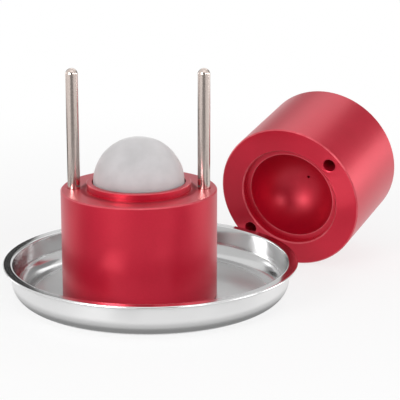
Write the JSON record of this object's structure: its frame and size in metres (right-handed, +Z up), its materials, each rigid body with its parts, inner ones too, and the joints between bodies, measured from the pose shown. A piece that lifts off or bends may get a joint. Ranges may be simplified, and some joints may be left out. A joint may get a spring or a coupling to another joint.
{
  "type": "ice ball press",
  "caption": "Open ice ball press: bored aluminium mould halves with a spherical cavity, guide rods, an ice ball and a round flanged drip tray.",
  "frame": {"origin": "centre of the drip tray's underside", "axes": "+Z up, along the guide rods; +X along the line of the two rods, towards the upper half; -Y towards the viewer of the picture"},
  "size_m": [0.2636, 0.2378, 0.1494],
  "materials": {
    "anodised_red": "red anodised, fine bead-blasted satin",
    "rod_steel": "satin, drawn along the rod",
    "tray_steel": "polished inside, satin outside",
    "ice": "cloudy frosted ice"
  },
  "bodies": {
    "tray": {"drip_tray": "tray_steel"},
    "base": {"lower_mould": "anodised_red", "guide_rod_left": "rod_steel", "guide_rod_right": "rod_steel", "ice_ball": "ice"},
    "upper": {"upper_mould": "anodised_red"}
  },
  "joints": [
    {"name": "base_lift", "type": "slide", "parent": "tray", "child": "base", "axis": [0, 0, 1], "range_m": [0, 0.13123]},
    {"name": "upper_swing", "type": "hinge", "parent": "tray", "child": "upper", "pos_m": [-0.02561, -0.06093, 0.04822], "axis": [0.8179, 0.104, 0.5659], "range_deg": [0, 100.54]}
  ]
}
